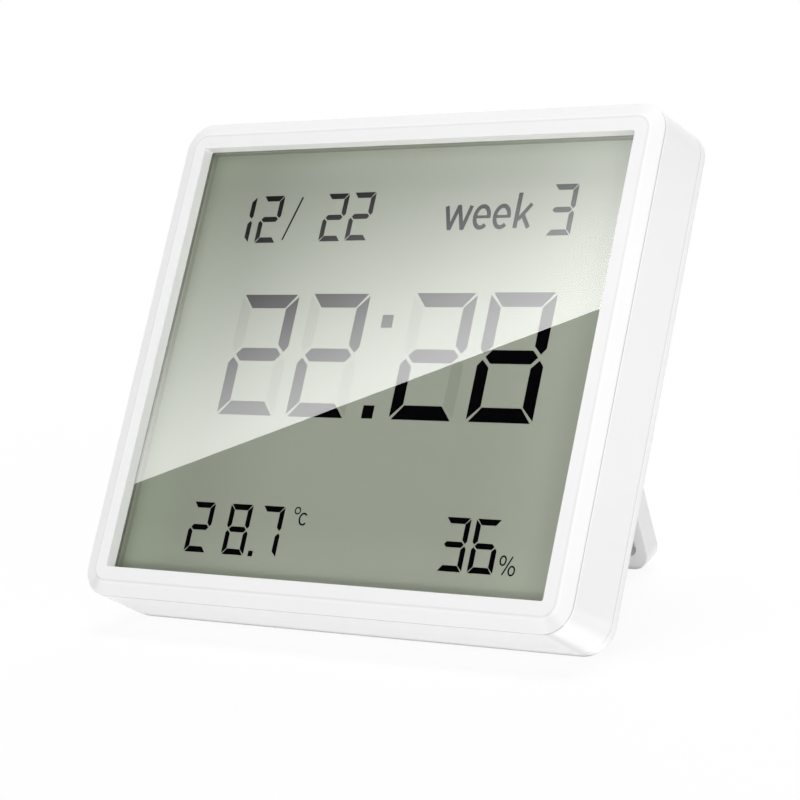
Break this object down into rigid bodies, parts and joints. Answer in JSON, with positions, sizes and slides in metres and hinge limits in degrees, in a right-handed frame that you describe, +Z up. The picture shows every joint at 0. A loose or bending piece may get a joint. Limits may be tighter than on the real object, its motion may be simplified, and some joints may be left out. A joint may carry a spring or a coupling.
{
  "type": "temperature humidity sensor",
  "caption": "Slim desk climate sensor: large reflective display in a white bevelled case that leans back on a fold-out tray stand, with keys, vents, keyhole and cell cap behind.",
  "frame": {"origin": "on the floor that the part stands on, under the middle of the whole part with its stand open", "axes": "+X to the right as seen from the front, +Y to the rear, +Z up; the display face looks along -Y and leans back by the angle that the stand gives"},
  "size_m": [0.0906, 0.0574, 0.0746],
  "materials": {
    "white_shell": "fine satin moulded plastic",
    "window_clear": "clear glossy sheet",
    "gasket_olive": "closed cell foam",
    "tape_grey": "thin adhesive frame",
    "polariser": "satin film",
    "display_glass": "clear plate",
    "reflector": "satin reflecting film",
    "zebra": "striped conductive rubber",
    "carrier_grey": "moulded plastic",
    "board_green": "solder resist",
    "shield_metal": "tinned sheet",
    "chip_black": "moulded epoxy",
    "contact_metal": "nickel plated spring strip",
    "cell_metal": "brushed can",
    "screw_metal": "zinc plated",
    "switch_black": "moulded plastic",
    "key_white": "satin moulded plastic"
  },
  "bodies": {
    "case": {"front_bezel": "white_shell", "window_tape": "tape_grey", "display_window": "window_clear", "window_gasket": "gasket_olive", "display_polariser": "polariser", "front_glass": "display_glass", "rear_glass": "display_glass", "display_reflector": "reflector", "zebra_strip": "zebra", "display_carrier": "carrier_grey", "main_board": "board_green", "radio_board": "board_green", "radio_shield": "shield_metal", "controller_chip": "chip_black", "climate_sensor": "chip_black", "board_parts": "chip_black", "key_switches": "switch_black", "body_shell": "white_shell", "rear_cover": "white_shell", "cover_screws": "screw_metal", "coin_cell": "cell_metal", "negative_contact": "contact_metal", "positive_contact": "contact_metal"},
    "stand": {"stand": "white_shell"},
    "cap": {"battery_cap": "white_shell"},
    "mode_button": {"mode_key": "key_white", "mode_plunger": "switch_black"},
    "up_button": {"up_key": "key_white", "up_plunger": "switch_black"},
    "down_button": {"down_key": "key_white", "down_plunger": "switch_black"}
  },
  "joints": [
    {"name": "stand_hinge", "type": "hinge", "parent": "case", "child": "stand", "pos_m": [0, 0.01185, 0.05588], "axis": [1, 0, 0], "range_deg": [-45.3, 0]},
    {"name": "cap_turn", "type": "hinge", "parent": "case", "child": "cap", "pos_m": [0, -0.00639, 0.02334], "axis": [0, 0.865, -0.5018], "range_deg": [0, 30]},
    {"name": "mode_press", "type": "slide", "parent": "case", "child": "mode_button", "axis": [0, -0.865, 0.5018], "range_m": [0, 0.0005], "stiffness_N_per_m": 600, "springref_m": -0.0006},
    {"name": "up_press", "type": "slide", "parent": "case", "child": "up_button", "axis": [0, -0.865, 0.5018], "range_m": [0, 0.0005], "stiffness_N_per_m": 600, "springref_m": -0.0006},
    {"name": "down_press", "type": "slide", "parent": "case", "child": "down_button", "axis": [0, -0.865, 0.5018], "range_m": [0, 0.0005], "stiffness_N_per_m": 600, "springref_m": -0.0006}
  ]
}
